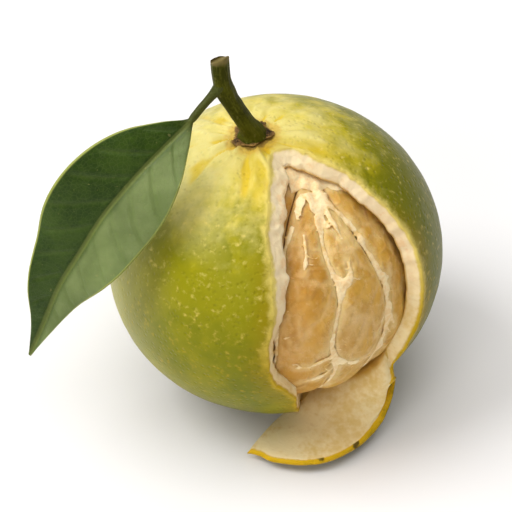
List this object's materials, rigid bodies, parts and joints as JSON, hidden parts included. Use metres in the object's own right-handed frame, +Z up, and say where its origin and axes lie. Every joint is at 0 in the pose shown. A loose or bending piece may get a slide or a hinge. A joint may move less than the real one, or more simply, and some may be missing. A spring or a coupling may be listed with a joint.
{
  "type": "tangerine",
  "caption": "Fresh green-yellow tangerine with its stem and a leaf, the thick peel torn open at the front and folded down as a flap, so the ball of segments shows.",
  "frame": {"origin": "middle of the small flat spot that the fruit rests on, straight under the middle of the fruit", "axes": "+Z up, the torn window and the flap face -Y, and the leaf hangs towards -X"},
  "size_m": [0.0761, 0.062, 0.0752],
  "materials": {
    "peel_skin": "waxy, finely pitted green-yellow rind",
    "segment_membrane": "moist, slightly translucent membrane",
    "pith": "soft, matt cream pith",
    "dry_calyx": "dry and matt",
    "green_stem": "green bark, brown at the cut",
    "leaf_blade": "waxy satin leaf"
  },
  "bodies": {
    "root": {"peel": "peel_skin", "segment_01": "segment_membrane", "segment_02": "segment_membrane", "segment_03": "segment_membrane", "segment_04": "segment_membrane", "segment_05": "segment_membrane", "segment_06": "segment_membrane", "segment_07": "segment_membrane", "segment_08": "segment_membrane", "segment_09": "segment_membrane", "segment_10": "segment_membrane", "segment_11": "segment_membrane", "segment_12": "segment_membrane", "strand_left": "pith", "strand_middle": "pith", "strand_right": "pith", "calyx": "dry_calyx", "stem": "green_stem", "leaf": "leaf_blade"}
  },
  "joints": []
}
